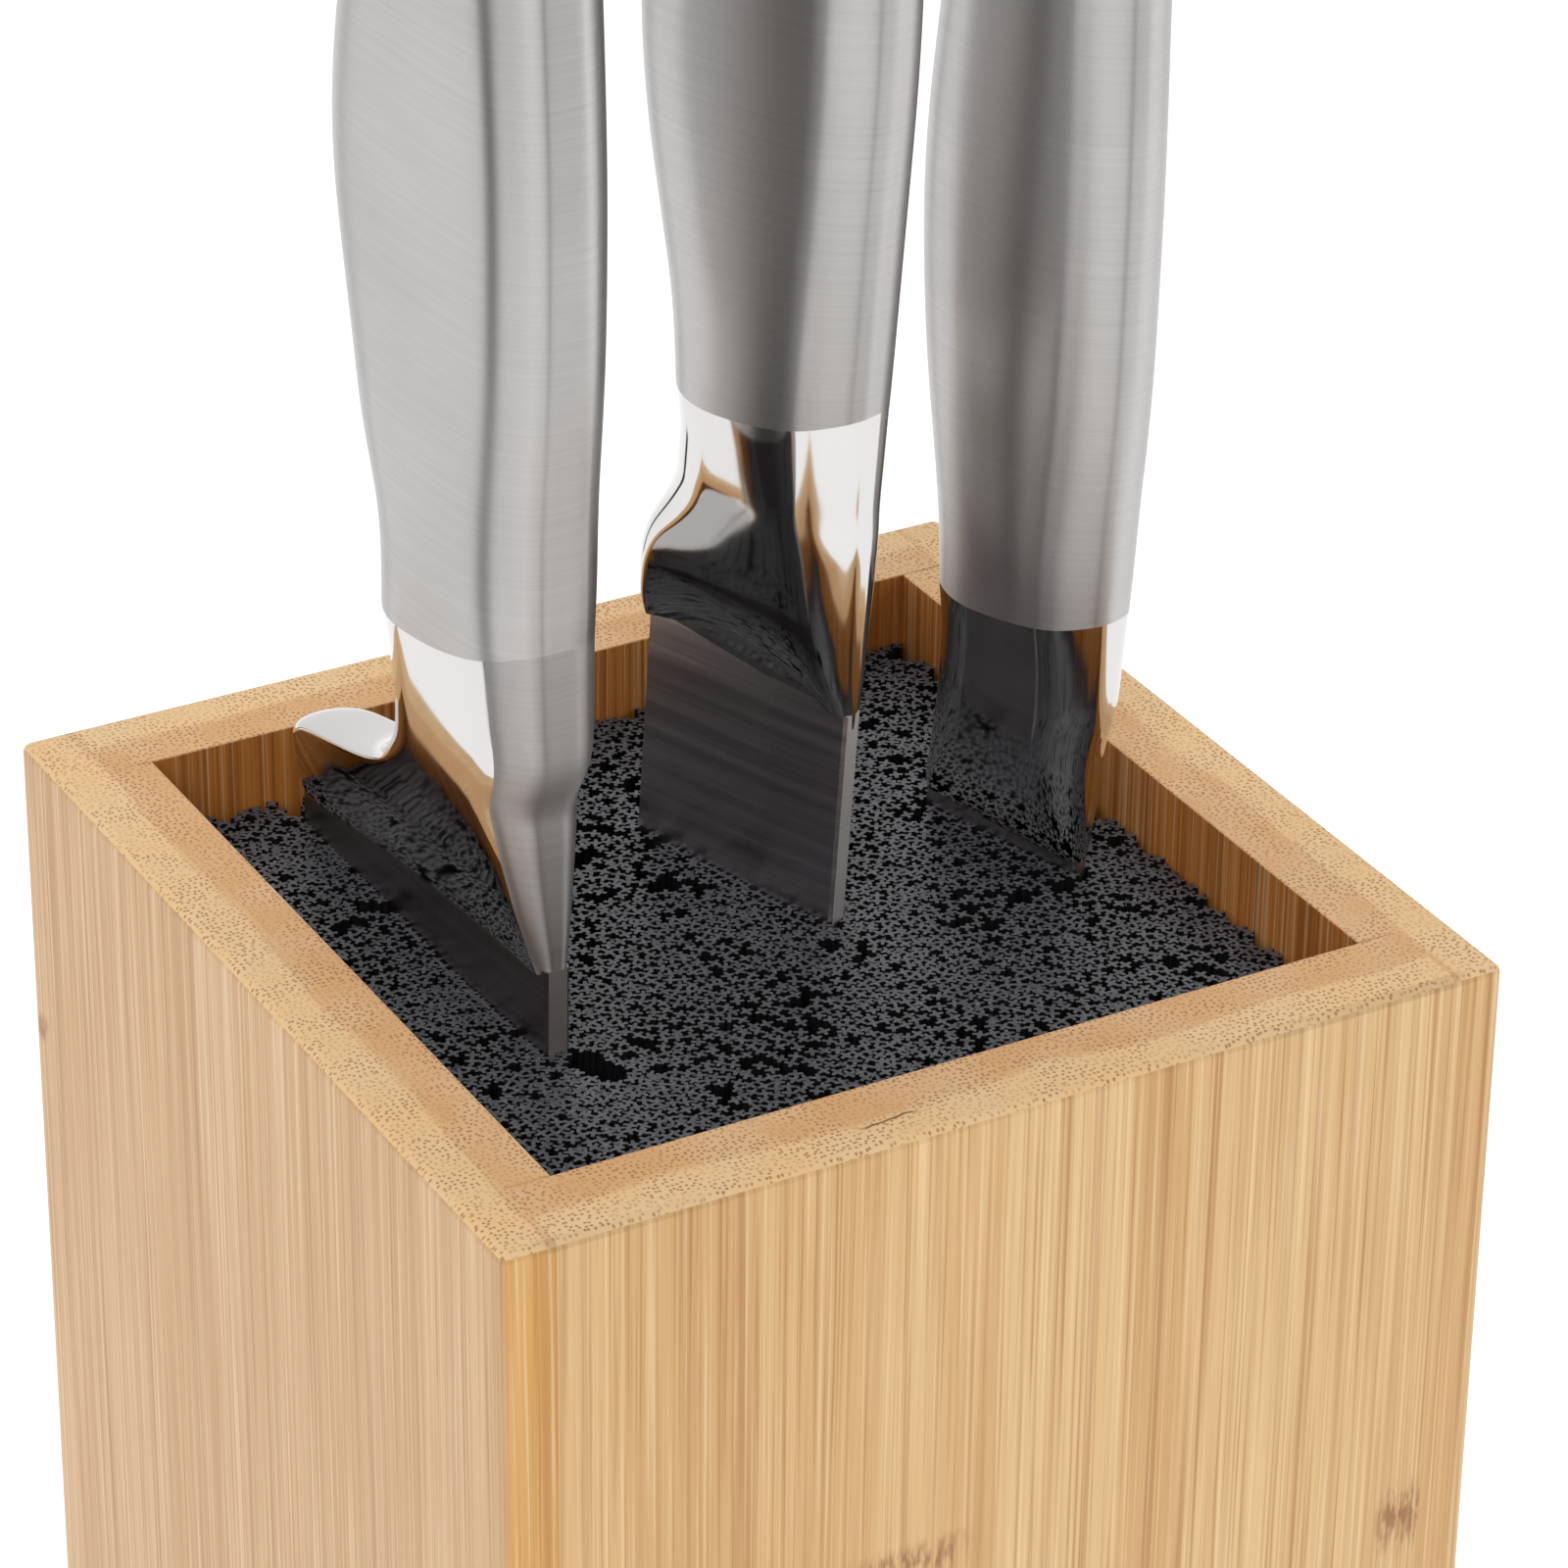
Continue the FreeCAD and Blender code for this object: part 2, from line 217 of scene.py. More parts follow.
def long_grain(name, across, tint, offset, knots=()):
    """Bamboo seen along its fibres, which run upright. across is the name of the axis that crosses them."""
    m = Nodes(name)
    c = m.math("ADD", getattr(m, across), offset)
    wobble = m.noise(m.vector(m.math("MULTIPLY", c, 60), 0, m.math("MULTIPLY", m.z, 6)), 1.0, 2.0)
    c = m.math("ADD", c, m.math("MULTIPLY", wobble, 0.0012))
    strip = m.math("FLOOR", m.math("MULTIPLY", c, 1 / 0.0062))
    strip_tone = m.white(strip)
    fine = m.noise(m.vector(m.math("MULTIPLY", c, 2600), 0, m.math("MULTIPLY", m.z, 16)), 1.0, 3.0, 0.65)
    medium = m.noise(m.vector(m.math("MULTIPLY", c, 900), 5, m.math("MULTIPLY", m.z, 7)), 1.0, 2.0)
    broad = m.noise(m.vector(m.math("MULTIPLY", c, 120), 9, m.math("MULTIPLY", m.z, 7)), 1.0, 2.0)
    pale, mid, deep = tint
    color = m.mix(m.between(strip_tone, 0.05, 0.95), mid, pale)
    color = m.mix(m.between(broad, 0.35, 0.75, 0.0, 0.55), color, pale)
    color = m.mix(m.between(medium, 0.46, 0.74, 0.0, 0.62), color, deep)
    color = m.mix(m.between(fine, 0.50, 0.70, 0.0, 0.72), color, deep)
    color = m.mix(m.between(fine, 0.34, 0.48, 0.4, 0.0), color, (0.95, 0.74, 0.45))
    dashes = m.noise(m.vector(m.math("MULTIPLY", c, 1100), 2, m.math("MULTIPLY", m.z, 260)), 1.0, 2.0, 0.6)
    for middle, level, half_wide, half_tall in knots:
        side = m.math("ABSOLUTE", m.math("SUBTRACT", getattr(m, across), middle * MM))
        away = m.math("ABSOLUTE", m.math("SUBTRACT", m.z, level * MM))
        knot = m.math("MULTIPLY", m.between(away, 0.15 * half_tall * MM, half_tall * MM, 1.0, 0.0),
                      m.between(side, 0.4 * half_wide * MM, half_wide * MM, 1.0, 0.0))
        knot = m.math("MULTIPLY", knot, m.between(dashes, 0.42, 0.60, 0.12, 1.0))
        color = m.mix(m.math("MULTIPLY", knot, 0.8), color, (0.30, 0.115, 0.035))
    height = m.math("ADD", m.math("MULTIPLY", fine, 0.7), m.math("MULTIPLY", medium, 0.3))
    m.set(color=color, rough=m.between(fine, 0.3, 0.7, 0.36, 0.52), specular=0.42,
          normal=m.bump(height, 0.22, 0.00008))
    return m.material


def end_grain(name, depth, low, high, ply_tint, cracks=()):
    """Bamboo cut across its fibres, on the rim: brown fibre ends on pale tan, in two glued plies.
    depth is the axis through the board's thickness, from its inner to its outer face."""
    m = Nodes(name)
    through = m.math("DIVIDE", m.math("SUBTRACT", getattr(m, depth), low), high - low)
    wave = m.noise(m.vector(m.math("MULTIPLY", m.x, 42), m.math("MULTIPLY", m.y, 42), 0), 1.0, 3.0)
    ply = m.math("ADD", through, m.math("MULTIPLY", m.math("SUBTRACT", wave, 0.5), 0.5))
    flat = m.vector(m.x, m.y, 0)
    spots = m.voronoi(flat, 1750.0, "F1", 0.70)
    dot = m.between(spots, 0.14, 0.34, 1.0, 0.0)
    dense = m.noise(flat, 260.0, 2.0)
    dot = m.math("MULTIPLY", dot, m.between(dense, 0.36, 0.60, 0.35, 1.0))
    pale, brown, fibre = ply_tint
    ground = m.mix(m.between(ply, 0.42, 0.58), brown, pale)
    ground = m.mix(m.between(m.noise(flat, 130.0, 2.0), 0.35, 0.70, 0.0, 0.35), ground, (0.82, 0.62, 0.38))
    color = m.mix(m.math("MULTIPLY", dot, 0.82), ground, fibre)
    seam = m.between(m.math("ABSOLUTE", m.math("SUBTRACT", ply, 0.5)), 0.006, 0.03, 1.0, 0.0)
    seam = m.math("MULTIPLY", seam, m.between(m.noise(flat, 55.0, 1.0), 0.45, 0.62))
    color = m.mix(m.math("MULTIPLY", seam, 0.16), color, (0.36, 0.16, 0.05))
    for middle_x, middle_y, half_long, half_wide in cracks:
        bend = m.math("MULTIPLY", m.math("SUBTRACT", m.noise(flat, 400.0, 1.0), 0.5), 0.0012)
        off = m.math("ABSOLUTE", m.math("ADD", m.math("SUBTRACT", m.y, middle_y * MM), bend))
        along = m.math("ABSOLUTE", m.math("SUBTRACT", m.x, middle_x * MM))
        slit = m.math("MULTIPLY", m.between(off, 0.3 * half_wide * MM, half_wide * MM, 1.0, 0.0),
                      m.between(along, 0.5 * half_long * MM, half_long * MM, 1.0, 0.0))
        color = m.mix(m.math("MULTIPLY", slit, 0.85), color, (0.16, 0.06, 0.02))
    m.set(color=color, rough=0.62, specular=0.3, normal=m.bump(m.math("MULTIPLY", dot, -1.0), 0.3, 0.00008))
    return m.material


def plastic(name, cut_and_lit_top_color, shaded_side_color, rough):
    """Black plastic whose cut ends are greyer than its sides: partly the saw-cut finish, partly painted light from
    above, while the near-black sides are painted shade of the deep gaps between rods. The bright specks are painted
    glints.
    """
    m = Nodes(name)
    normal = m.tree.nodes.new("ShaderNodeNewGeometry").outputs["Normal"]
    split = m.tree.nodes.new("ShaderNodeSeparateXYZ")
    m.tree.links.new(normal, split.inputs[0])
    # painted light and shade: upward faces take the lighter top colour, the sides the darker painted-shade colour
    lit_end_vs_shaded_side = m.between(split.outputs[2], 0.5, 0.9)
    # painted glints: sparse bright specks mixed into the rod ends' colour
    painted_glint = m.between(m.noise(m.place, 4200.0, 1.0), 0.66, 0.74)
    patch = m.noise(m.place, 1100.0, 1.0)
    top = m.mix(m.between(patch, 0.3, 0.7), tuple(0.72 * v for v in cut_and_lit_top_color), tuple(1.25 * v for v in cut_and_lit_top_color))
    top = m.mix(m.math("MULTIPLY", painted_glint, 0.7), top, (0.30, 0.30, 0.32))
    m.set(color=m.mix(lit_end_vs_shaded_side, shaded_side_color, top), rough=rough, specular=0.5,
          normal=m.bump(m.noise(m.place, 2600.0, 2.0), 0.35, 0.00006))
    return m.material


def rubber(name):
    m = Nodes(name)
    grain = m.noise(m.place, 2500.0, 2.0)
    m.set(color=m.mix(grain, (0.018, 0.018, 0.018), (0.035, 0.035, 0.036)), rough=0.78,
          normal=m.bump(grain, 0.25, 0.00005))
    return m.material


def brushed(name, base, rough, line_strength):
    """Steel brushed round the handle: fine level lines, a few longer scratches and faint smudges."""
    m = Nodes(name)
    around = m.math("ADD", m.math("MULTIPLY", m.x, 90), m.math("MULTIPLY", m.y, 90))
    lines = m.noise(m.vector(around, 0, m.math("MULTIPLY", m.z, 9000)), 1.0, 3.0, 0.65)
    coarse = m.noise(m.vector(m.math("MULTIPLY", around, 0.5), 3, m.math("MULTIPLY", m.z, 2200)), 1.0, 2.0, 0.6)
    smudge = m.noise(m.place, 55.0, 3.0)
    tone = m.math("ADD", m.math("MULTIPLY", lines, 0.5), m.math("MULTIPLY", coarse, 0.5))
    color = m.mix(m.between(tone, 0.3, 0.7), tuple(0.93 * v for v in base), tuple(1.05 * v for v in base))
    height = m.math("ADD", m.math("MULTIPLY", lines, 0.65), m.math("MULTIPLY", coarse, 0.35))
    m.set(color=color, metal=1.0, rough=m.between(smudge, 0.3, 0.7, rough - 0.02, rough + 0.03), aniso=0.85,
          aniso_turn=0.25, tangent=m.around_z(), normal=m.bump(height, line_strength, 0.00002))
    return m.material


def polished(name, base, rough):
    m = Nodes(name)
    hair = m.noise(m.vector(m.math("MULTIPLY", m.x, 2600), m.math("MULTIPLY", m.y, 2600),
                            m.math("MULTIPLY", m.z, 160)), 1.0, 2.0)
    smudge = m.noise(m.place, 70.0, 3.0)
    m.set(color=base, metal=1.0, rough=m.between(smudge, 0.35, 0.72, rough, rough + 0.05),
          normal=m.bump(hair, 0.05, 0.00001))
    return m.material


def ground_blade(name, base, slope):
    """Blade steel, ground in one slanting direction: slope is how far a scratch drops as it crosses the blade."""
    m = Nodes(name)
    along = m.math("ADD", m.z, m.math("MULTIPLY", m.y, slope))
    fine = m.noise(m.vector(m.math("MULTIPLY", m.y, 35), 0, m.math("MULTIPLY", along, 5200)), 1.0, 4.0, 0.7)
    coarse = m.noise(m.vector(m.math("MULTIPLY", m.y, 14), 4, m.math("MULTIPLY", along, 900)), 1.0, 2.0)
    tone = m.math("ADD", m.math("MULTIPLY", fine, 0.6), m.math("MULTIPLY", coarse, 0.4))
    color = m.mix(m.between(tone, 0.32, 0.68), tuple(0.82 * v for v in base), tuple(1.15 * v for v in base))
    m.set(color=color, metal=1.0, rough=m.between(coarse, 0.3, 0.7, 0.29, 0.37), normal=m.bump(fine, 0.12, 0.00002))
    return m.material


# ---------------------------------------------------------------- block

OUTER_ROUND = 0.9          # mm, on the block's outside edges
SEAM_ROUND = 0.14          # mm, where two boards meet
ROUND_STEPS = 3


OUTER, RIM, INNER, EDGE = range(4)


def face_kind(normal, facing):
    """Which of a board's four materials a face takes, from the way it looks and the way the board faces."""
    if abs(normal.z) > 0.6:
        return RIM
    outward = normal.dot(facing)
    if outward < -0.6:
        return INNER
    return OUTER if outward > 0.6 else EDGE


def board(name, outline, materials, outer, facing):
    """An upright board with the given plan outline. The edges on the outside of the block are rounded, and those at
    the seams only broken. outer says whether a plan point lies on the block's outside."""
    low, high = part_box(name)
    bm = bmesh.new()
    ring = [bm.verts.new((x, y, low.z)) for x, y in outline]
    bottom = bm.faces.new(ring)
    lifted = bmesh.ops.extrude_face_region(bm, geom=[bottom])
    tops = [v for v in lifted["geom"] if isinstance(v, bmesh.types.BMVert)]
    bmesh.ops.translate(bm, verts=tops, vec=(0, 0, high.z - low.z))
    bmesh.ops.recalc_face_normals(bm, faces=bm.faces)
    bm.edges.ensure_lookup_table()
    wide = []
    narrow = []
    for edge in bm.edges:
        ends_outer = [outer(v.co.x, v.co.y) for v in edge.verts]
        upright = abs(edge.verts[0].co.z - edge.verts[1].co.z) > 1e-5
        corner = upright and all(abs(abs(v.co.x) - CAD_BOX_HALF) < 1e-5 and abs(abs(v.co.y) - CAD_BOX_HALF) < 1e-5
                                 for v in edge.verts)
        (wide if corner or (not upright and all(ends_outer)) else narrow).append(edge)
    bmesh.ops.bevel(bm, geom=wide, offset=OUTER_ROUND * MM, segments=ROUND_STEPS, profile=0.5, affect="EDGES",
                    clamp_overlap=True)
    rest = [e for e in narrow if e.is_valid]
    bmesh.ops.bevel(bm, geom=rest, offset=SEAM_ROUND * MM, segments=2, profile=0.5, affect="EDGES",
                    clamp_overlap=True)
    mesh = bpy.data.meshes.new(name + "_bamboo")
    bm.normal_update()
    slots = []
    flats = []
    for face in bm.faces:
        slots.append(face_kind(face.normal, facing))
        flats.append(face.calc_area() < 60 * MM * MM)
    bm.to_mesh(mesh)
    bm.free()
    for material in materials:
        mesh.materials.append(material)
    mesh.polygons.foreach_set("material_index", slots)
    mesh.polygons.foreach_set("use_smooth", flats)
    obj = bpy.data.objects.new(name + "_bamboo", mesh)
    bpy.context.scene.collection.objects.link(obj)
    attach(obj, "block")
    return obj


CAD_BOX_HALF = LEFT_HIGH.y


# Marks of the bamboo's nodes on the outer faces: middle, level, half width, half height, in mm
KNOTS = {
    "front_board": ((-10.5, 180.3, 8.0, 2.8), (43.2, 167.5, 4.2, 5.2), (15.0, 62.0, 9.0, 3.0)),
    "left_side_board": ((47.8, 194.6, 2.0, 2.2), (8.0, 96.0, 8.0, 3.0), (-24.0, 38.0, 7.0, 2.6)),
    "right_side_board": ((-20.0, 128.0, 8.0, 3.0), (24.0, 178.0, 7.0, 2.8), (38.0, 70.0, 6.0, 2.4)),
    "back_board": ((20.0, 150.0, 9.0, 3.2), (-25.0, 84.0, 7.0, 2.8)),
}

# Short splits in the rim: middle x, middle y, half length, half width, in mm
CRACKS = {"front_board": ((-11.2, -46.5, 3.6, 0.22),)}


def make_block():
    honey = ((0.78, 0.52, 0.25), (0.66, 0.39, 0.16), (0.44, 0.20, 0.055))
    honey_deep = ((0.80, 0.48, 0.16), (0.68, 0.36, 0.10), (0.46, 0.19, 0.04))
    # inner faces' tint: the browner inner ply's own colour, made darker as painted shade of the block's inside
    inner_ply_and_painted_shade_tint = ((0.63, 0.24, 0.046), (0.46, 0.155, 0.026), (0.24, 0.062, 0.009))
    rosy = ((0.68, 0.43, 0.225), (0.61, 0.365, 0.17), (0.45, 0.235, 0.09))
    rim = ((0.84, 0.555, 0.28), (0.72, 0.41, 0.185), (0.36, 0.135, 0.04))
    half = CAD_BOX_HALF
    inner = -LEFT_HIGH.x
    front_half = FRONT_HIGH.x

    def outer(x, y):
        return max(abs(x), abs(y)) > half - 1e-5

    plans = {
        "front_board": ("x", "y", honey, 0.013, (-inner, -half), "bamboo_front",
                        [(-front_half, -half), (front_half, -half), (front_half, -inner), (-front_half, -inner)]),
        "back_board": ("x", "y", honey, 0.171, (inner, half), "bamboo_back",
                       [(-front_half, inner), (front_half, inner), (front_half, half), (-front_half, half)]),
        "left_side_board": ("y", "x", rosy, 0.307, (-inner, -half), "bamboo_left",
                            [(-half, -half), (-front_half, -half), (-front_half, -inner), (-inner, -inner),
                             (-inner, inner), (-front_half, inner), (-front_half, half), (-half, half)]),
        "right_side_board": ("y", "x", honey, 0.431, (inner, half), "bamboo_right",
                             [(half, half), (front_half, half), (front_half, inner), (inner, inner),
                              (inner, -inner), (front_half, -inner), (front_half, -half), (half, -half)]),
    }
    for name, (across, depth, tint, offset, span, slot, outline) in plans.items():
        end_across = "x" if across == "y" else "y"
        materials = [long_grain(name + "_grain", across, tint, offset, KNOTS.get(name, ())),
                     end_grain(name + "_rim", depth, *span, rim, CRACKS.get(name, ())),
                     # inner faces get the darker tint, part ply colour and part painted shade
                     long_grain(name + "_inner", across, inner_ply_and_painted_shade_tint, offset + 0.05),
                     long_grain(name + "_edge", end_across, honey_deep if "left" in name else honey, offset + 0.09)]
        facing = Vector((0, math.copysign(1, span[1]), 0)) if across == "x" else Vector((math.copysign(1, span[1]), 0, 0))
        obj = board(name, outline, materials, outer, facing)
        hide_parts(name)
    base = frame["nodes"]["base_board"]
    base.data.materials.clear()
    base.data.materials.append(long_grain("base_grain", "x", honey, 0.6))


def make_feet():
    """Turned rubber feet: a rounded rim, a slightly hollow tread and a tapered side."""
    material = rubber("feet_rubber")
    around = 40
    for y_name in ("front", "back"):
        for x_name in ("left", "right"):
            node = "foot_%s_%s" % (y_name, x_name)
            low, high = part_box(node)
            centre = (low + high) / 2
            radius = (high.x - low.x) / 2
            tall = high.z - low.z
            profile = [(0.0, 0.25), (0.35, 0.25), (0.5, 0.12), (0.62, 0.0), (0.78, 0.0), (0.84, 0.04), (0.88, 0.14),
                       (0.94, 0.6), (0.97, 0.95), (0.94, 1.0), (0.0, 1.0)]
            verts = []
            for r, h in profile[1:-1]:
                for k in range(around):
                    a = 2 * math.pi * k / around
                    verts.append((centre.x + radius * r * math.cos(a), centre.y + radius * r * math.sin(a),
                                  low.z + tall * h))
            rings = len(profile) - 2
            faces = [tuple(reversed(f)) for f in tube_faces(rings, around)]
            faces.append(tuple(range(around)))
            faces.append(tuple(reversed(range((rings - 1) * around, rings * around))))
            flip_check = piece(node + "_rubber", verts, faces, [material], "block", [node])
            fix_normals(flip_check)


def fix_normals(obj):
    bm = bmesh.new()
    bm.from_mesh(obj.data)
    bmesh.ops.recalc_face_normals(bm, faces=bm.faces)
    if any(face.smooth for face in bm.faces):
        for face in bm.faces:
            if not face.smooth:
                for edge in face.edges:
                    edge.smooth = False
    bm.to_mesh(obj.data)
    bm.free()


# ---------------------------------------------------------------- knives: axes and sections

class Knife:
    """A knife's own axes, read from the frame: u up along it, v towards its spine, w across the blade. Lengths in mm,
    from the point where the middle of the spine meets the rod tips."""

    def __init__(self, name):
        self.name = name
        joint = next(j for j in frame["joints"] if j["child"] == name)
        self.u = Vector(joint["axis"]).normalized()
        level = Vector((self.u.x, self.u.y, 0)).normalized()
        self.v = (level - self.u * level.dot(self.u)).normalized()
        self.w = self.v.cross(self.u)
        blade = self.coordinates(name + "_blade")
        top_v = blade[:, 1].max()
        middle_w = (blade[:, 0].max() + blade[:, 0].min()) / 2
        start = self.v * top_v + self.w * middle_w
        self.origin = start + self.u * ((RODS_TOP - start.z) / self.u.z)
        self.blade_half = (blade[:, 0].max() - blade[:, 0].min()) / 2 / MM
        self.blade_low = (blade[:, 2].min() - self.origin.dot(self.u)) / MM

    def coordinates(self, node):
        """The node's vertices as (w, v, u) in metres, from the frame's origin."""
        points = np.array([v.co for v in frame["nodes"][node].data.vertices], float)
        return points @ np.array([self.w, self.v, self.u]).T

    def world(self, u, v, w):
        return self.origin + (self.u * u + self.v * v + self.w * w) * MM

    def local(self, point):
        d = (Vector(point) - self.origin) / MM
        return d.dot(self.u), d.dot(self.v), d.dot(self.w)

    def cut(self, node, u):
        """(highest v, lowest v, thickness) of a CAD node where it crosses the level u, in mm."""
        points = (self.coordinates(node) - np.array([self.origin.dot(a) for a in (self.w, self.v, self.u)])) / MM
        edges = np.array([e.vertices[:] for e in frame["nodes"][node].data.edges])
        a, b = points[edges[:, 0]], points[edges[:, 1]]
        crossing = (a[:, 2] - u) * (b[:, 2] - u) < 0
        a, b = a[crossing], b[crossing]
        t = ((u - a[:, 2]) / (b[:, 2] - a[:, 2]))[:, None]
        hits = a + (b - a) * t
        return hits[:, 1].max(), hits[:, 1].min(), 2 * np.abs(hits[:, 0]).max()

    def reach(self, node):
        """The lowest and highest level u of a CAD node, in mm."""
        levels = (self.coordinates(node)[:, 2] - self.origin.dot(self.u)) / MM
        return levels.min(), levels.max()


CREASE_SHARE = 0.84        # the thickness at the flank's crease, as a share of the full thickness
CREASE_ROUND = 2.6         # mm of the flank that the crease's rounding takes
SWELL_POWER = 2.4
FLAT_POINTS = 12
STRIP_POINTS = 4
BELLY_STEPS = 12


CORNER_STEPS = 5


def curve_through(p, corner, q):
    """Points on the quadratic curve from p to q that leans towards the corner."""
    out = []
    for k in range(CORNER_STEPS + 1):
        t = k / CORNER_STEPS
        out.append(p * (1 - t) ** 2 + corner * 2 * t * (1 - t) + q * t * t)
    return out


def arc_corner(before, corner, after, size):
    """Points that round a corner, from one size before it to one size after it."""
    corner = Vector(corner)
    return curve_through(corner + (Vector(before) - corner).normalized() * size, corner,
                         corner + (Vector(after) - corner).normalized() * size)


def flank_swell(t):
    """How far the flank has swollen out of the line from its crease to its belly, from 0 to 1."""
    return 1 - (1 - t) ** SWELL_POWER - t


def half_ring(row):
    """(v, w) points from the middle of the spine round one side to the middle of the belly."""
    top, bottom, spine_thick, edge_thick, belly = (row[k] for k in ("top", "bottom", "thick", "edge_thick", "belly"))
    half = spine_thick / 2
    crease = half * CREASE_SHARE
    strip = crease * row["strip"]
    facet = crease - strip
    edge_half = edge_thick / 2
    flat_end = bottom + belly
    start, corner_a, corner_b = (top, 0.0), (top, strip), (top - facet, crease)
    end = (flat_end, edge_half)
    strip_size = min(facet * 0.45, strip * 0.85)
    points = [Vector(start)]
    points += [Vector((top, (strip - strip_size) * k / STRIP_POINTS)) for k in range(1, STRIP_POINTS)]
    points += arc_corner(start, corner_a, corner_b, strip_size)
    length = top - facet - flat_end
    first = min(CREASE_ROUND, length * 0.2) / length
    flank = []
    for k in range(FLAT_POINTS):
        t = first + (1 - first) * k / FLAT_POINTS
        point = Vector(corner_b).lerp(Vector(end), t)
        point.y += (half - crease) * flank_swell(t)
        flank.append(point)
    side_corner = curve_through(Vector(corner_b) + (points[-1] - Vector(corner_b)) * 0.8, Vector(corner_b), flank[0])
    points += side_corner[:-1] + flank
    for k in range(BELLY_STEPS + 1):
        angle = math.pi / 2 * k / BELLY_STEPS
        points.append(Vector((flat_end - belly * math.sin(angle), edge_half * math.cos(angle))))
    return points


def ring(row):
    """A closed ring of (u, v, w). The row's level runs from its spine value to its edge value, bent by its power, and
    dips under the spine."""
    side = half_ring(row)
    points = side + [Vector((p.x, -p.y)) for p in reversed(side[1:-1])]
    top, bottom = row["top"], row["bottom"]
    out = []
    for v, w in points:
        share = min(1.0, max(0.0, (v - bottom) / (top - bottom)))
        u = row["u_edge"] + (row["u"] - row["u_edge"]) * share ** row["power"]
        u += row["arch"] * 4 * share * (1 - share)
        u -= row["dip"] * math.exp(-((top - v) / 1.6) ** 2)
        out.append((u, v, w))
    return out


def row(u, u_edge, top, bottom, thick, edge_thick, belly, power=1.0, dip=0.0, arch=0.0, strip=0.5):
    return {"u": u, "u_edge": u_edge, "top": top, "bottom": bottom, "thick": thick, "edge_thick": edge_thick,
            "belly": belly, "power": power, "dip": dip, "arch": arch, "strip": strip}


RING_SIZE = len(half_ring(row(0, 0, 0, -20, 10, 10, 6))) * 2 - 2
SPINE_POINTS = 13          # ring points on each side of the middle that belong to the spine and its two facets


SMOOTHING_ROUNDS = 7


def skin(knife, rows, steps):
    """Ring points in the world along a smooth surface through the rows."""
    strip = KNIFE_SHAPES[knife.name]["strip"]
    control = np.array([ring({**r, "strip": strip}) for r in rows])
    fine = spline(control, steps)
    for _ in range(SMOOTHING_ROUNDS):
        fine[1:-1] = 0.5 * fine[1:-1] + 0.25 * (fine[:-2] + fine[2:])
    return [[knife.world(*p) for p in r] for r in fine]


# ---------------------------------------------------------------- knives: pieces

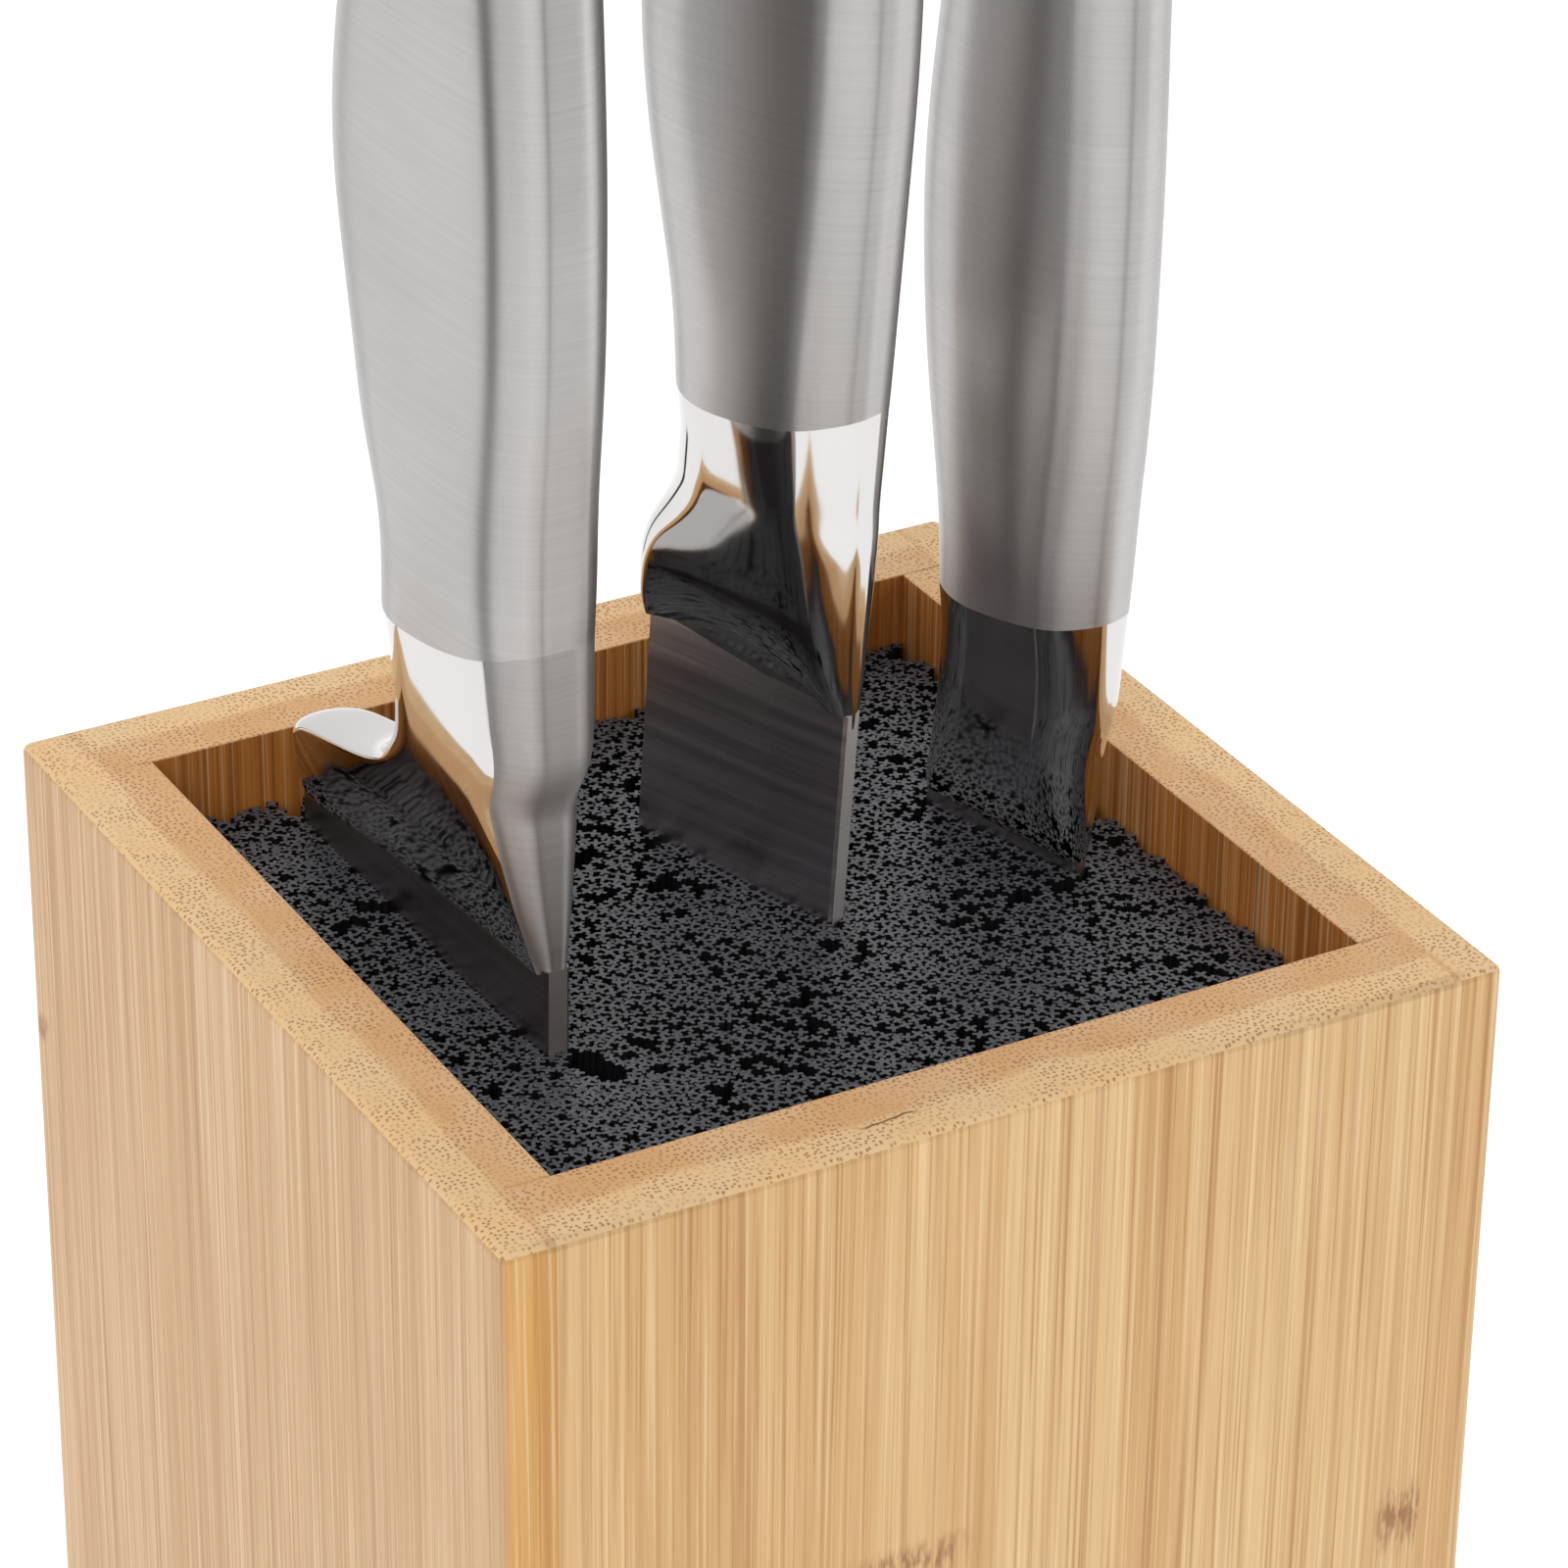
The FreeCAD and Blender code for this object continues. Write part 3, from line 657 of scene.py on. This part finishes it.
# blade_tone: the blade steel's base colour, set darker or lighter per knife as painted reflection of what each blade
# mirrors, darkest on the chef's knife that faces the rods
KNIFE_SHAPES = {
    "chef_knife": {
        "finish": (40.5, 36.0), "finish_power": 2.4, "belly": 11.0, "handle_step": 7.5, "strip": 0.42, "lift": 2.4,
        "blade_tone": (0.27, 0.25, 0.255),
        "guard": [
            row(6.8, 2.1, 0.0, -46.3, 2.64, 1.0, 0.6, arch=0.8, dip=0.3),
            row(7.4, 2.9, 0.0, -46.6, 3.2, 2.3, 1.2, arch=0.8, dip=0.2),
            row(9.0, 5.3, -0.1, -46.9, 4.3, 4.4, 2.0, arch=0.6), row(11.0, 8.2, -0.2, -46.9, 5.5, 5.7, 2.6, arch=0.4),
            row(13.0, 10.8, -0.4, -46.6, 6.6, 6.5, 2.8), row(14.3, 12.2, -0.5, -45.3, 7.3, 6.8, 2.6),
            row(15.5, 13.3, -0.6, -42.4, 7.8, 6.9, 2.4), row(16.6, 14.4, -0.7, -37.5, 8.3, 7.1, 2.4),
            row(18.0, 15.8, -0.8, -32.5, 8.9, 7.5, 2.6), row(19.6, 17.6, -0.9, -28.6, 9.5, 8.2, 3.4),
            row(21.4, 20.2, -1.0, -26.2, 10.1, 9.2, 5.0), row(24.0, 23.2, -1.2, -25.1, 10.9, 10.4, 7.2)],
        "neck": (28.0, 33.0), "brushed_spine": True, "blade_arch": 0.0,
    },
    "carving_knife": {
        "finish": (52.5, 49.0), "finish_power": 2.4, "belly": 10.0, "handle_step": 7.5, "strip": 0.38, "lift": -0.2,
        "blade_tone": (0.62, 0.585, 0.595),
        "guard": [
            row(21.3, 21.6, 0.0, -25.6, 2.8, 2.6, 0.9, arch=2.4, dip=1.0),
            row(22.4, 22.4, 0.0, -25.7, 4.6, 3.6, 1.4, arch=2.4, dip=1.0),
            row(24.4, 24.2, 0.0, -25.8, 6.4, 5.4, 2.0, arch=2.0, dip=0.6),
            row(27.4, 27.0, -0.1, -25.7, 8.0, 7.0, 2.6, arch=1.0), row(30.6, 30.2, -0.1, -25.5, 9.2, 8.2, 3.2),
            row(33.4, 33.2, -0.1, -24.7, 10.0, 9.0, 4.0), row(36.2, 36.2, -0.1, -23.1, 10.6, 9.8, 5.4),
            row(39.2, 39.2, -0.1, -21.9, 11.2, 10.8, 6.8)],
        "neck": (42.0, 45.5), "brushed_spine": False, "blade_arch": 2.4,
    },
    "utility_knife": {
        "finish": (27.5, 25.3), "finish_power": 2.4, "belly": 9.0, "handle_step": 7.0, "strip": 0.36, "lift": 0.8,
        "blade_tone": (0.45, 0.43, 0.435),
        "guard": [
            row(0.8, 1.2, 0.1, -18.6, 2.8, 2.4, 0.8), row(1.6, 2.0, 0.2, -18.7, 4.4, 3.4, 1.2),
            row(3.4, 3.8, 0.3, -18.6, 6.2, 5.0, 2.0), row(6.2, 6.4, 0.4, -18.2, 7.8, 6.6, 3.0),
            row(9.6, 9.6, 0.5, -17.9, 9.0, 8.2, 4.6), row(13.4, 13.4, 0.7, -17.7, 9.8, 9.4, 6.0)],
        "neck": (17.0, 21.0), "brushed_spine": False, "blade_arch": 0.0,
    },
}


def cad_row(knife, node, u, belly, u_edge=None, power=1.0):
    top, bottom, thick = knife.cut(node, u)
    top += KNIFE_SHAPES[knife.name]["lift"]
    return row(u, u if u_edge is None else u_edge, top, bottom, thick, thick, belly, power)


def finish_row(knife, shape):
    """The line where the brushed handle meets the polished bolster."""
    high, low = shape["finish"]
    level = (high + low) / 2
    inside = level < knife.reach(knife.name + "_bolster")[1] - 0.1
    top, bottom, thick = knife.cut(knife.name + ("_bolster" if inside else "_handle"), level)
    top += shape["lift"]
    return row(high, low, top, bottom, thick, thick, shape["belly"] * 0.85, shape["finish_power"])


def make_bolster(knife, shape, flank, spine):
    node = knife.name + "_bolster"
    rows = list(shape["guard"])
    rows += [cad_row(knife, node, u, shape["belly"] * 0.78) for u in shape["neck"]]
    rows.append(finish_row(knife, shape))
    rings = skin(knife, rows, 6)
    verts = [p for r in rings for p in r]
    faces = tube_faces(len(rings), RING_SIZE)
    slots = []
    for _ in range(len(rings) - 1):
        for i in range(RING_SIZE):
            on_spine = i < SPINE_POINTS or i >= RING_SIZE - SPINE_POINTS
            slots.append(1 if on_spine and shape["brushed_spine"] else 0)
    faces.append(tuple(reversed(range(RING_SIZE))))
    faces.append(tuple(range(len(verts) - RING_SIZE, len(verts))))
    obj = piece(node + "_steel", verts, faces, [flank, spine], knife.name, [node],
                face_slots=slots + [0, 0], flat_ends=2)
    fix_normals(obj)
    return obj


CAP_STEPS = 9
CAP_GROOVE = 0.22          # mm, the joint between the handle and its end cap
CAP_GROOVE_DEPTH = 0.18


def handle_rows(knife, shape):
    node = knife.name + "_handle"
    end = knife.reach(node)[1] - 0.3
    start = shape["finish"][0] + 4.5
    count = max(2, round((end - start) / shape["handle_step"]))
    rows = [finish_row(knife, shape)]
    for k in range(count + 1):
        rows.append(cad_row(knife, node, start + (end - start) * k / count, shape["belly"]))
    return rows


def make_handle(knife, shape, steel):
    node = knife.name + "_handle"
    rings = skin(knife, handle_rows(knife, shape), 6)
    verts = [p for r in rings for p in r]
    faces = tube_faces(len(rings), RING_SIZE)
    faces.append(tuple(range(RING_SIZE)))
    faces.append(tuple(range(len(verts) - RING_SIZE, len(verts))))
    obj = piece(node + "_steel", verts, faces, [steel], knife.name, [node], flat_ends=2)
    fix_normals(obj)
    return obj


def make_end_cap(knife, shape, steel):
    """A crowned cap with a fine groove where it meets the handle."""
    node = knife.name + "_end_cap"
    last = handle_rows(knife, shape)[-1]
    top_u = knife.reach(node)[1] - 0.1
    base_u = last["u"]
    rise = top_u - base_u
    middle_v = (last["top"] + last["bottom"]) / 2
    rim = ring({**last, "strip": shape["strip"]})
    rings = []
    for level, inset in ((0.0, CAP_GROOVE_DEPTH), (CAP_GROOVE * 0.5, CAP_GROOVE_DEPTH), (CAP_GROOVE, 0.0)):
        rings.append([shrunk(p, middle_v, level, inset) for p in rim])
    for k in range(1, CAP_STEPS + 1):
        angle = math.pi / 2 * k / CAP_STEPS
        drop = (1 - math.cos(angle) ** 0.8) * last["thick"] / 2 if k < CAP_STEPS else last["thick"] / 2 - 0.6
        rings.append([shrunk(p, middle_v, CAP_GROOVE + (rise - CAP_GROOVE) * math.sin(angle) ** 0.75, drop)
                      for p in rim])
    verts = [knife.world(*p) for r in rings for p in r]
    faces = tube_faces(len(rings), RING_SIZE)
    faces.append(tuple(range(RING_SIZE)))
    faces.append(tuple(range(len(verts) - RING_SIZE, len(verts))))
    obj = piece(node + "_steel", verts, faces, [steel], knife.name, [node], flat_ends=2)
    fix_normals(obj)
    return obj


def shrunk(point, middle_v, rise, inset):
    """A ring point raised and drawn in towards the line along the middle of the handle."""
    u, v, w = point
    half_w = abs(w)
    new_w = math.copysign(max(0.02, half_w - inset * min(1.0, half_w / 3.0 + 0.25)), w) if half_w > 1e-6 else 0.0
    reach = v - middle_v
    new_v = middle_v + math.copysign(max(0.0, abs(reach) - inset * min(1.0, abs(reach) / 6.0)), reach)
    return (u + rise, new_v, new_w)


BLADE_INTO_BOLSTER = 1.6   # mm that the blade reaches up inside the bolster
EDGE_HALF = 0.12
GRIND_SHARE = 0.32         # where the ground bevel starts, as a share of the blade's width from the spine


def make_blade(knife, shape, steel, spine):
    node = knife.name + "_blade"
    low = knife.blade_low
    first = shape["guard"][0]
    high = min(first["u"] - first["dip"], first["u_edge"]) - 0.3
    tip_zone = 60.0
    levels = [low + 0.25]
    levels += [low + tip_zone * (k / 26) ** 1.6 for k in range(3, 27)]
    levels += list(np.linspace(low + tip_zone + 6, high - 0.2, 20))
    rings = []
    for u in levels:
        top, bottom, _ = knife.cut(node, u)
        rings.append(blade_ring(knife, u, u, top, bottom, 0.0, 0.0))
    top, bottom, _ = knife.cut(node, high - 0.2)
    rings.append(blade_ring(knife, first["u"] + BLADE_INTO_BOLSTER, first["u_edge"] + BLADE_INTO_BOLSTER,
                            top, bottom, first["dip"], first["arch"]))
    size = len(rings[0])
    verts = [knife.world(*p) for r in rings for p in r]
    faces = tube_faces(len(rings), size)
    faces.append(tuple(range(size)))
    faces.append(tuple(range(len(verts) - size, len(verts))))
    slots = [1 if i in (0, size - 1) else 0 for _ in range(len(rings) - 1) for i in range(size)]
    obj = piece(node + "_steel", verts, faces, [steel, spine], knife.name, [node], smooth=False,
                face_slots=slots + [0, 0])
    fix_normals(obj)
    return obj


def blade_ring(knife, u, u_edge, top, bottom, dip, arch):
    """Blade section: a flat spine with broken corners, parallel sides, then a wedge ground down to the edge."""
    half = knife.blade_half - 0.05
    grind = -GRIND_SHARE * abs(knife_width(knife))
    width = abs(knife_width(knife))
    side = [(top, 0.0), (top, half - 0.3), (top - 0.3, half)]
    for k in range(1, 10):
        v = top - 0.3 + (bottom - top + 0.3) * k / 9
        if v > grind:
            w = half
        else:
            w = half + (EDGE_HALF - half) * (grind - v) / (width + grind)
        side.append((v, min(half, w)))
    points = side + [(v, -w) for v, w in reversed(side[1:])]
    out = []
    for v, w in points:
        share = min(1.0, max(0.0, (v - bottom) / max(0.01, top - bottom)))
        level = u_edge + (u - u_edge) * share - dip * math.exp(-((top - v) / 1.6) ** 2)
        out.append((level + arch * 4 * share * (1 - share), v, w))
    return out


def knife_width(knife):
    points = (knife.coordinates(knife.name + "_blade")[:, 1] - knife.origin.dot(knife.v)) / MM
    return points.min()


def make_knives():
    handle_steel = brushed("handle_steel", (0.52, 0.51, 0.505), 0.37, 0.14)
    spine_steel = brushed("spine_steel", (0.50, 0.49, 0.485), 0.46, 0.16)
    mirror_steel = polished("mirror_steel", (0.66, 0.65, 0.64), 0.06)
    knives = {}
    for name, shape in KNIFE_SHAPES.items():
        knife = Knife(name)
        knives[name] = knife
        # each blade's base tone carries a painted reflection: the same steel made darker or lighter per knife
        make_blade(knife, shape, ground_blade(name + "_ground_steel", shape["blade_tone"], 0.06), spine_steel)
        make_bolster(knife, shape, mirror_steel, spine_steel)
        make_handle(knife, shape, handle_steel)
        make_end_cap(knife, shape, handle_steel)
    return knives


# ---------------------------------------------------------------- rods

ROD_REACH = 0.68           # mm from a rod's middle to the tips of its star
ROD_WAIST = 0.27           # mm from its middle to the hollows between the tips
TIP_ANGLE = math.radians(13)
ROD_PITCH = 1.205          # mm between neighbours
WALL_GAP = 0.35            # mm between the outermost rods' middles and the edge of the insert
ROD_COUNT = 4420
RELAX_ROUNDS = 22
# Gaps left where a knife has just been moved, as (x, y, radius) in mm
GAPS = [(-23.9, -15.2, 2.3), (-22.9, -18.0, 2.0), (-18.6, -19.4, 1.3), (-16.9, -20.2, 1.0), (4.9, -8.0, 1.6),
        (7.4, -9.8, 1.1), (10.1, -26.1, 1.3), (7.5, -27.4, 1.1), (-18.9, -13.4, 1.0), (-12.5, -31.0, 0.9),
        (21.0, -20.5, 0.8), (-3.0, -3.0, 1.0), (-6.0, 4.0, 1.1)]


def blade_half_at(knife, v, width):
    """Half the blade's thickness at this distance from its spine."""
    grind = -GRIND_SHARE * width
    if v > grind:
        return knife.blade_half
    return EDGE_HALF + (knife.blade_half - EDGE_HALF) * max(0.0, (v + width) / (width + grind))


def band_push(knife, level, x, y, reach):
    """How far a point at this level has to move along the knife's w axis to be clear of its blade, and that axis."""
    along = (level - knife.origin.z) / knife.u.z
    centre = knife.origin + knife.u * along
    dx, dy = x - centre.x, y - centre.y
    flat_v = Vector((knife.v.x, knife.v.y, 0)).normalized()
    v = (dx * flat_v.x + dy * flat_v.y) / MM
    w = (dx * knife.w.x + dy * knife.w.y) / MM
    width = abs(knife_width_of[knife.name])
    need = blade_half_at(knife, v, width) + reach
    if -width - reach < v < reach and abs(w) < need:
        return math.copysign(need - abs(w), w) * MM
    return 0.0


knife_width_of = {}


def rod_places(knives):
    """The rods' places at their tips: scattered, then pushed apart and clear of the blades, as shaken rods settle."""
    rng = random.Random(SEED)
    low_x, high_x = INSERT_LOW.x + WALL_GAP * MM, INSERT_HIGH.x - WALL_GAP * MM
    low_y, high_y = INSERT_LOW.y + WALL_GAP * MM, INSERT_HIGH.y - WALL_GAP * MM
    pitch = ROD_PITCH * MM
    places = [[rng.uniform(low_x, high_x), rng.uniform(low_y, high_y)] for _ in range(ROD_COUNT)]
    for _ in range(RELAX_ROUNDS):
        tree = kdtree.KDTree(len(places))
        for i, (x, y) in enumerate(places):
            tree.insert((x, y, 0), i)
        tree.balance()
        moved = []
        for i, (x, y) in enumerate(places):
            push_x = push_y = 0.0
            for co, j, distance in tree.find_range((x, y, 0), pitch * 1.0):
                if j != i and distance > 1e-9:
                    strength = 0.5 * (pitch * 1.0 - distance) / distance
                    push_x += (x - co.x) * strength
                    push_y += (y - co.y) * strength
            x, y = x + push_x * 0.8, y + push_y * 0.8
            for knife in knives.values():
                push = band_push(knife, RODS_TOP, x, y, ROD_REACH * 0.62)
                x += knife.w.x * push
                y += knife.w.y * push
            for gx, gy, radius in GAPS:
                dx, dy = x - gx * MM, y - gy * MM
                distance = math.hypot(dx, dy)
                if distance < radius * MM:
                    scale = radius * MM / max(distance, 1e-6)
                    x, y = gx * MM + dx * scale, gy * MM + dy * scale
            moved.append([min(max(x, low_x), high_x), min(max(y, low_y), high_y)])
        places = moved
    return thin_out(places, pitch * 0.66)


def thin_out(places, least):
    """Drops rods that are still too near an earlier one."""
    tree = kdtree.KDTree(len(places))
    for i, (x, y) in enumerate(places):
        tree.insert((x, y, 0), i)
    tree.balance()
    dropped = set()
    for i, (x, y) in enumerate(places):
        if i in dropped:
            continue
        for _, j, _ in tree.find_range((x, y, 0), least):
            if j > i:
                dropped.add(j)
    return [p for i, p in enumerate(places) if i not in dropped]


def star(turn):
    """Star section of a rod, in metres: four blunt tips with hollows between them."""
    points = []
    for k in range(4):
        middle = turn + k * math.pi / 2
        for a, r in ((-TIP_ANGLE, ROD_REACH), (TIP_ANGLE, ROD_REACH), (math.pi / 4, ROD_WAIST)):
            points.append((r * MM * math.cos(middle + a), r * MM * math.sin(middle + a)))
    return points


def rod_levels(knives, x, y):
    """The rod's middle line from foot to tip, bent aside wherever a blade's path is in its way."""
    top = RODS_TOP
    heights = [RODS_FOOT + (top - RODS_FOOT) * k / 14 for k in range(15)]
    line = []
    bent = False
    for z in heights:
        px, py = x, y
        for knife in knives.values():
            if z > knife.origin.z + knife.blade_low * MM - 4 * MM:
                push = band_push(knife, z, px, py, ROD_REACH * 0.62)
                bent = bent or abs(push) > 1e-6
                px += knife.w.x * push
                py += knife.w.y * push
        line.append((px, py, z))
    return line if bent else [line[0], line[-1]]


def make_rods(knives):
    rng = random.Random(SEED + 1)
    # rod ends lighter partly as painted light, sides near black as painted shade of the gaps, with painted glints
    material = plastic("rod_plastic", (0.078, 0.078, 0.088), (0.009, 0.009, 0.010), 0.40)
    places = rod_places(knives)
    bundles = {"rods_left": [], "rods_centre_left": [], "rods_centre_right": [], "rods_right": []}
    order = sorted(knives.values(), key=lambda k: k.origin.x)
    for x, y in places:
        side = 0
        for k in order:
            if (x - k.origin.x) * k.w.x + (y - k.origin.y) * k.w.y < 0:
                side += 1
        bundles[list(bundles)[side]].append((x, y))
    for node, spots in bundles.items():
        verts = []
        faces = []
        for x, y in spots:
            section = star(rng.uniform(0, math.pi / 2))
            swell = noise.noise(Vector((x * 60, y * 60, 0.3)))
            drop = 0.10 + 0.28 * (swell + 0.5) + abs(rng.gauss(0, 0.13))
            if rng.random() < 0.03:
                drop += rng.uniform(0.3, 1.2)
            line = rod_levels(knives, x, y)
            base = len(verts)
            for k, (px, py, pz) in enumerate(line):
                if k == len(line) - 1:
                    pz -= drop * MM
                verts += [(px + sx, py + sy, pz) for sx, sy in section]
            faces += [tuple(base + i for i in f) for f in tube_faces(len(line), len(section))]
            faces.append(tuple(base + (len(line) - 1) * len(section) + i for i in range(len(section))))
            faces.append(tuple(base + i for i in reversed(range(len(section)))))
        piece(node + "_stars", verts, faces, [material], "bristle_insert", [node], smooth=False)
    base = frame["nodes"]["bristle_base"]
    base.data.materials.clear()
    # the same split of painted light on top and painted shade on the sides, on the insert's base
    base.data.materials.append(plastic("insert_base_plastic", (0.03, 0.03, 0.032), (0.02, 0.02, 0.021), 0.5))
    print("rods", len(places), {n: len(s) for n, s in bundles.items()})


# ---------------------------------------------------------------- stage

CAMERA_AZIMUTH = -29.46
CAMERA_ELEVATION = 29.19
CAMERA_ROLL = 0.67
CAMERA_DISTANCE = 596.2    # mm from the point that it looks at
CAMERA_AIM = (9.5, 9.0)    # mm, that point in the plane of the rim
CAMERA_LENS = 146.8


def make_camera():
    data = bpy.data.cameras.new("camera")
    data.lens = CAMERA_LENS
    data.sensor_width = 36.0
    data.clip_start = 0.01
    camera = bpy.data.objects.new("camera", data)
    bpy.context.scene.collection.objects.link(camera)
    azimuth, elevation, roll = (math.radians(a) for a in (CAMERA_AZIMUTH, CAMERA_ELEVATION, CAMERA_ROLL))
    back = Vector((math.sin(azimuth) * math.cos(elevation), -math.cos(azimuth) * math.cos(elevation),
                   math.sin(elevation)))
    aim = Vector((CAMERA_AIM[0] * MM, CAMERA_AIM[1] * MM, RIM_Z))
    right = Vector((math.cos(azimuth), math.sin(azimuth), 0))
    up = back.cross(right)
    turned_right = right * math.cos(roll) + up * math.sin(roll)
    turned_up = up * math.cos(roll) - right * math.sin(roll)
    camera.location = aim + back * CAMERA_DISTANCE * MM
    matrix = camera.matrix_world.copy()
    for r in range(3):
        matrix[r][0], matrix[r][1], matrix[r][2] = turned_right[r], turned_up[r], back[r]
        matrix[r][3] = camera.location[r]
    camera.matrix_world = matrix
    bpy.context.scene.camera = camera


def area_light(name, place, aim, size, power, color=(1, 1, 1)):
    data = bpy.data.lights.new(name, "AREA")
    data.shape = "RECTANGLE"
    data.size, data.size_y = size
    data.energy = power
    data.color = color
    light = bpy.data.objects.new(name, data)
    bpy.context.scene.collection.objects.link(light)
    light.location = place
    light.rotation_euler = (Vector(aim) - Vector(place)).to_track_quat("-Z", "Y").to_euler()


# Black flags beside the block, as a studio uses to put dark lines into steel: heading in degrees from +Y towards
# +X, distance, half width and height in metres. They only show in reflections, and fade towards their edges.
FLAGS = ((-85.0, 0.42, 0.10, 0.88), (-177.0, 0.6, 0.06, 0.8), (-17.0, 0.5, 0.03, 0.75))


def make_flags():
    black = Nodes("flag_black")
    black.set(color=(0.01, 0.01, 0.01), rough=0.9, specular=0.0)
    for number, (heading, distance, half_width, height) in enumerate(FLAGS):
        turn = math.radians(heading)
        mesh = bpy.data.meshes.new("flag_%d" % number)
        mesh.from_pydata([(-1, 0, 0), (1, 0, 0), (1, 0, height), (-1, 0, height)], [], [(0, 1, 2, 3)])
        mesh.materials.append(black.material)
        flag = bpy.data.objects.new("flag_%d" % number, mesh)
        bpy.context.scene.collection.objects.link(flag)
        flag.location = (math.sin(turn) * distance, math.cos(turn) * distance, 0)
        flag.rotation_euler = (0, 0, -turn)
        flag.scale = (half_width, 1, 1)
        flag.visible_camera = flag.visible_diffuse = flag.visible_shadow = flag.visible_transmission = False
    fade = black.between(black.math("ABSOLUTE", black.x), 0.35, 1.0, 1.0, 0.0)
    black.put(black.shader.inputs["Alpha"], fade)


def make_world():
    """A pale studio that is brighter behind the block, and plain white where the camera sees it."""
    world = bpy.data.worlds.new("studio")
    bpy.context.scene.world = world
    world.use_nodes = True
    tree = world.node_tree
    background = tree.nodes["Background"]
    direction = tree.nodes.new("ShaderNodeTexCoord").outputs["Generated"]
    split = tree.nodes.new("ShaderNodeSeparateXYZ")
    tree.links.new(direction, split.inputs[0])
    ramp = tree.nodes.new("ShaderNodeMapRange")
    ramp.interpolation_type = "SMOOTHSTEP"
    tree.links.new(split.outputs[1], ramp.inputs["Value"])
    for key, number in (("From Min", -0.6), ("From Max", 0.9), ("To Min", 0.32), ("To Max", 0.92)):
        ramp.inputs[key].default_value = number
    path = tree.nodes.new("ShaderNodeLightPath")
    mix = tree.nodes.new("ShaderNodeMix")
    tree.links.new(path.outputs["Is Camera Ray"], mix.inputs[0])
    tree.links.new(ramp.outputs["Result"], mix.inputs[2])
    mix.inputs[3].default_value = 0.95
    background.inputs[0].default_value = (1.0, 1.0, 1.0, 1)
    tree.links.new(mix.outputs[0], background.inputs[1])


def make_stage():
    floor = Nodes("floor_paper")
    grain = floor.noise(floor.place, 40.0, 2.0)
    floor.set(color=floor.mix(grain, (0.93, 0.93, 0.93), (0.95, 0.95, 0.95)), rough=0.9, specular=0.1)
    floor.shader.inputs["Emission Color"].default_value = (1, 1, 1, 1)
    floor.shader.inputs["Emission Strength"].default_value = 0.35
    mesh = bpy.data.meshes.new("floor")
    reach = 6.0
    mesh.from_pydata([(-reach, -reach, 0), (reach, -reach, 0), (reach, reach, 0), (-reach, reach, 0)], [], [(0, 1, 2, 3)])
    mesh.materials.append(floor.material)
    obj = bpy.data.objects.new("floor", mesh)
    bpy.context.scene.collection.objects.link(obj)
    area_light("key", (-0.9, -1.2, 1.5), (0, 0, 0.25), (1.2, 1.2), 12)
    area_light("fill", (1.5, -0.9, 0.9), (0, 0, 0.25), (0.8, 1.4), 5.2)
    area_light("top", (0.0, 0.5, 1.9), (0, 0, 0.2), (1.6, 1.6), 7)
    make_flags()
    make_world()
    bpy.context.scene.view_settings.view_transform = "Standard"


# ---------------------------------------------------------------- scene

make_camera()
make_stage()
make_block()
make_feet()
for knife_name in KNIFE_SHAPES:
    knife_width_of[knife_name] = knife_width(Knife(knife_name))
KNIVES = make_knives()
make_rods(KNIVES)
